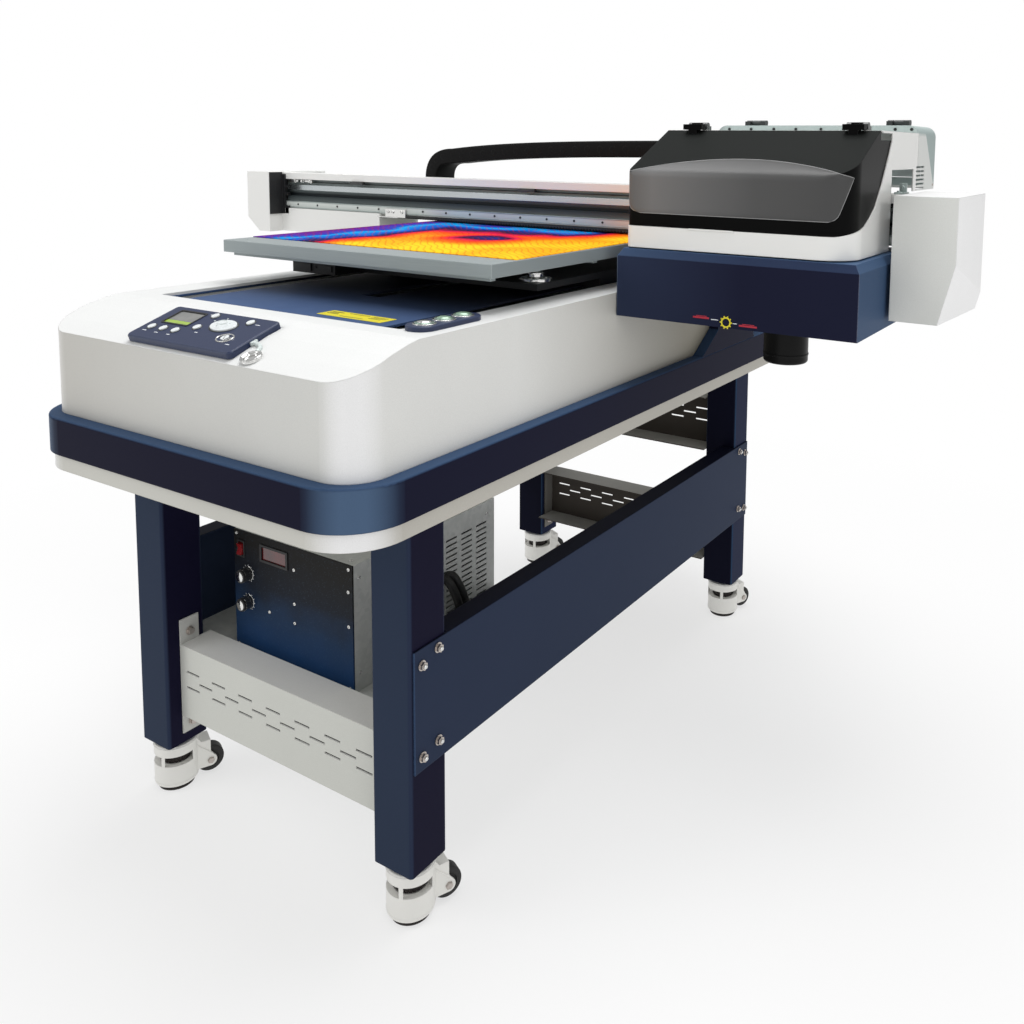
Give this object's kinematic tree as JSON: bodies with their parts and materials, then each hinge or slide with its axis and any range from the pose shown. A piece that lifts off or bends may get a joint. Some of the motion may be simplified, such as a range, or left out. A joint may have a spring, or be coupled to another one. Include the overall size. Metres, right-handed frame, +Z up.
{
  "type": "flatbed uv printer",
  "caption": "Free-standing flatbed printer: moving table on a long body, fixed cross beam, hooded print carriage with flip-up visor, ink box, open leg stand on levelling casters.",
  "frame": {"origin": "centre of the footprint, on the floor", "axes": "+Z up; +X along the beam towards the ink box; the console end faces -Y"},
  "size_m": [1.892, 1.564, 1.2705],
  "materials": {
    "navy_paint": "satin",
    "grey_paint": "satin",
    "white_paint": "satin",
    "pale_grey_paint": "satin",
    "white_plastic": "semi-gloss",
    "galvanised": "galvanised",
    "bolt_steel": "zinc plated",
    "rail_steel": "ground",
    "black_paint": "matt",
    "deck_paint": "satin",
    "chrome_parts": "polished",
    "platen_aluminium": "anodised",
    "beam_aluminium": "anodised",
    "printed_sheet": "printed gloss",
    "belt_rubber": "matt",
    "chain_plastic": "moulded",
    "visor_plastic": "gloss",
    "cap_rubber": "matt",
    "bottle_plastic": "moulded",
    "console_plastic": "moulded",
    "key_plastic": "moulded",
    "button_metal": "metallic",
    "panel_paint": "satin",
    "rocker_plastic": "gloss",
    "knob_plastic": "moulded",
    "caster_paint": "powder coat",
    "wheel_rubber": "matt",
    "foot_rubber": "matt"
  },
  "bodies": {
    "frame": {"legs": "navy_paint", "side_rails": "navy_paint", "front_crossbar": "grey_paint", "rear_crossbars": "grey_paint", "equipment_shelf": "galvanised", "frame_bolts": "bolt_steel", "under_tray": "white_paint", "blue_band": "navy_paint", "upper_shell": "white_plastic", "deck_panel": "deck_paint", "y_rails": "rail_steel", "y_motor": "black_paint", "beam": "beam_aluminium", "beam_end_cap": "white_paint", "x_rail": "rail_steel", "x_belt": "belt_rubber", "maintenance_box": "navy_paint", "waste_bottle": "bottle_plastic", "ink_box": "white_paint", "ink_bottles": "bottle_plastic", "console": "console_plastic", "button_pad": "console_plastic", "driver_box": "galvanised", "driver_panel": "panel_paint"},
    "table": {"table_saddle": "black_paint", "levelling_posts": "chrome_parts", "platen": "platen_aluminium", "print_sheet": "printed_sheet"},
    "screw": {"y_screw": "rail_steel"},
    "carriage": {"carriage_shell": "white_plastic", "rear_cover": "pale_grey_paint", "head_plate": "beam_aluminium", "print_heads": "black_paint", "uv_lamps": "black_paint", "chain_upper_run": "chain_plastic"},
    "visor": {"visor": "visor_plastic"},
    "rear_lid": {"rear_lid": "pale_grey_paint"},
    "chain": {"chain_bend": "chain_plastic"},
    "cap_lift": {"cap_station": "cap_rubber"},
    "wiper": {"wiper": "cap_rubber"},
    "console_keys": {"console_keys": "key_plastic"},
    "console_dial": {"console_dial": "key_plastic"},
    "knob_upper": {"driver_knob_upper": "knob_plastic"},
    "knob_lower": {"driver_knob_lower": "knob_plastic"},
    "rocker": {"driver_rocker": "rocker_plastic"},
    "pad_button_front": {"pad_button_front": "button_metal"},
    "pad_button_middle": {"pad_button_middle": "button_metal"},
    "pad_button_rear": {"pad_button_rear": "button_metal"},
    "caster_front_left": {"caster_fork_front_left": "caster_paint"},
    "wheel_front_left": {"caster_wheel_front_left": "wheel_rubber"},
    "foot_front_left": {"levelling_foot_front_left": "foot_rubber"},
    "caster_front_right": {"caster_fork_front_right": "caster_paint"},
    "wheel_front_right": {"caster_wheel_front_right": "wheel_rubber"},
    "foot_front_right": {"levelling_foot_front_right": "foot_rubber"},
    "caster_rear_left": {"caster_fork_rear_left": "caster_paint"},
    "wheel_rear_left": {"caster_wheel_rear_left": "wheel_rubber"},
    "foot_rear_left": {"levelling_foot_rear_left": "foot_rubber"},
    "caster_rear_right": {"caster_fork_rear_right": "caster_paint"},
    "wheel_rear_right": {"caster_wheel_rear_right": "wheel_rubber"},
    "foot_rear_right": {"levelling_foot_rear_right": "foot_rubber"}
  },
  "joints": [
    {"name": "table_slide", "type": "slide", "parent": "frame", "child": "table", "axis": [0, 1, 0], "range_m": [-0.42, 0.42]},
    {"name": "y_screw_spin", "type": "hinge", "parent": "frame", "child": "screw", "pos_m": [0, 0, 0.88], "axis": [0, 1, 0], "range_deg": [-7561, 7561]},
    {"name": "carriage_slide", "type": "slide", "parent": "frame", "child": "carriage", "axis": [1, 0, 0], "range_m": [-0.92, 0], "deforming": ["chain_upper_run"]},
    {"name": "chain_travel", "type": "slide", "parent": "frame", "child": "chain", "axis": [1, 0, 0], "range_m": [-0.46, 0]},
    {"name": "visor_hinge", "type": "hinge", "parent": "carriage", "child": "visor", "pos_m": [0.591, 0.094, 1.25], "axis": [-1, 0, 0], "range_deg": [0, 72]},
    {"name": "rear_lid_hinge", "type": "hinge", "parent": "carriage", "child": "rear_lid", "pos_m": [0.591, 0.398, 1.2645], "axis": [1, 0, 0], "range_deg": [0, 80]},
    {"name": "cap_lift", "type": "slide", "parent": "frame", "child": "cap_lift", "axis": [0, 0, 1], "range_m": [0, 0.018]},
    {"name": "wiper_travel", "type": "slide", "parent": "frame", "child": "wiper", "axis": [0, 1, 0], "range_m": [0, 0.12]},
    {"name": "console_keys_press", "type": "slide", "parent": "frame", "child": "console_keys", "axis": [0, 0.3256, -0.9455], "range_m": [0, 0.0015]},
    {"name": "console_dial_press", "type": "slide", "parent": "frame", "child": "console_dial", "axis": [0, 0.3256, -0.9455], "range_m": [0, 0.0015]},
    {"name": "pad_button_front_press", "type": "slide", "parent": "frame", "child": "pad_button_front", "axis": [0, 0, -1], "range_m": [0, 0.002]},
    {"name": "pad_button_middle_press", "type": "slide", "parent": "frame", "child": "pad_button_middle", "axis": [0, 0, -1], "range_m": [0, 0.002]},
    {"name": "pad_button_rear_press", "type": "slide", "parent": "frame", "child": "pad_button_rear", "axis": [0, 0, -1], "range_m": [0, 0.002]},
    {"name": "knob_upper_turn", "type": "hinge", "parent": "frame", "child": "knob_upper", "pos_m": [-0.16, -0.52, 0.417], "axis": [0, -1, 0], "range_deg": [-140, 140]},
    {"name": "knob_lower_turn", "type": "hinge", "parent": "frame", "child": "knob_lower", "pos_m": [-0.16, -0.52, 0.363], "axis": [0, -1, 0], "range_deg": [-140, 140]},
    {"name": "rocker_tilt", "type": "hinge", "parent": "frame", "child": "rocker", "pos_m": [-0.178, -0.5185, 0.461], "axis": [1, 0, 0], "range_deg": [-8, 8]},
    {"name": "swivel_front_left", "type": "hinge", "parent": "frame", "child": "caster_front_left", "pos_m": [-0.297, -0.586, 0.09], "axis": [0, 0, 1], "continuous": true},
    {"name": "roll_front_left", "type": "hinge", "parent": "caster_front_left", "child": "wheel_front_left", "pos_m": [-0.27249, -0.53343, 0.0285], "axis": [-0.9063, 0.4226, 0], "continuous": true},
    {"name": "level_front_left", "type": "slide", "parent": "caster_front_left", "child": "foot_front_left", "axis": [0, 0, 1], "range_m": [0, 0.012]},
    {"name": "swivel_front_right", "type": "hinge", "parent": "frame", "child": "caster_front_right", "pos_m": [0.297, -0.586, 0.09], "axis": [0, 0, 1], "continuous": true},
    {"name": "roll_front_right", "type": "hinge", "parent": "caster_front_right", "child": "wheel_front_right", "pos_m": [0.32151, -0.53343, 0.0285], "axis": [-0.9063, 0.4226, 0], "continuous": true},
    {"name": "level_front_right", "type": "slide", "parent": "caster_front_right", "child": "foot_front_right", "axis": [0, 0, 1], "range_m": [0, 0.012]},
    {"name": "swivel_rear_left", "type": "hinge", "parent": "frame", "child": "caster_rear_left", "pos_m": [-0.297, 0.586, 0.09], "axis": [0, 0, 1], "continuous": true},
    {"name": "roll_rear_left", "type": "hinge", "parent": "caster_rear_left", "child": "wheel_rear_left", "pos_m": [-0.27249, 0.63857, 0.0285], "axis": [-0.9063, 0.4226, 0], "continuous": true},
    {"name": "level_rear_left", "type": "slide", "parent": "caster_rear_left", "child": "foot_rear_left", "axis": [0, 0, 1], "range_m": [0, 0.012]},
    {"name": "swivel_rear_right", "type": "hinge", "parent": "frame", "child": "caster_rear_right", "pos_m": [0.297, 0.586, 0.09], "axis": [0, 0, 1], "continuous": true},
    {"name": "roll_rear_right", "type": "hinge", "parent": "caster_rear_right", "child": "wheel_rear_right", "pos_m": [0.32151, 0.63857, 0.0285], "axis": [-0.9063, 0.4226, 0], "continuous": true},
    {"name": "level_rear_right", "type": "slide", "parent": "caster_rear_right", "child": "foot_rear_right", "axis": [0, 0, 1], "range_m": [0, 0.012]}
  ],
  "couplings": [
    {"joint": "y_screw_spin", "follows": "table_slide", "rad_per_m": 314.16},
    {"joint": "chain_travel", "follows": "carriage_slide", "ratio": 0.5}
  ]
}
